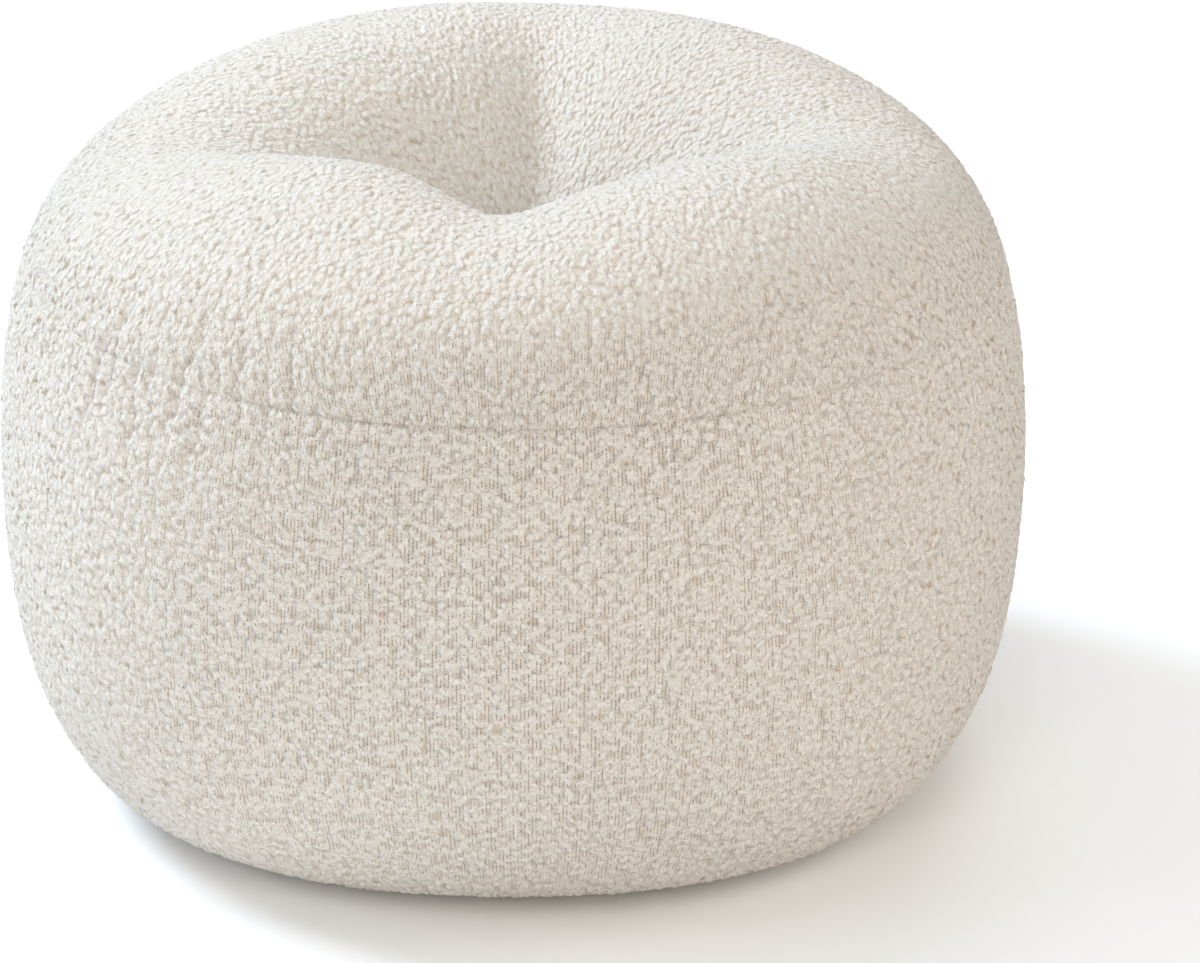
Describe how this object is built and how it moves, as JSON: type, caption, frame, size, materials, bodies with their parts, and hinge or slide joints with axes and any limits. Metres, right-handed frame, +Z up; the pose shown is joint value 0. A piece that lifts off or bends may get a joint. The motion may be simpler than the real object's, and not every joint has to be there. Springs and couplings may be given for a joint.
{
  "type": "bean bag footstool",
  "caption": "Round filled footstool in looped ivory cloth: its top is tied down in the middle, with soft valleys between lobes and a flat base to rest on.",
  "frame": {"origin": "on the floor, under the middle of the footstool", "axes": "+Z up, -Y towards the viewer and the low side of the top, +X to the viewer's right"},
  "size_m": [0.5006, 0.5006, 0.3422],
  "materials": {
    "boucle_cloth": "matt looped boucle cloth, ivory loops over a beige ground"
  },
  "bodies": {
    "root": {"cushion": "boucle_cloth"}
  },
  "joints": []
}
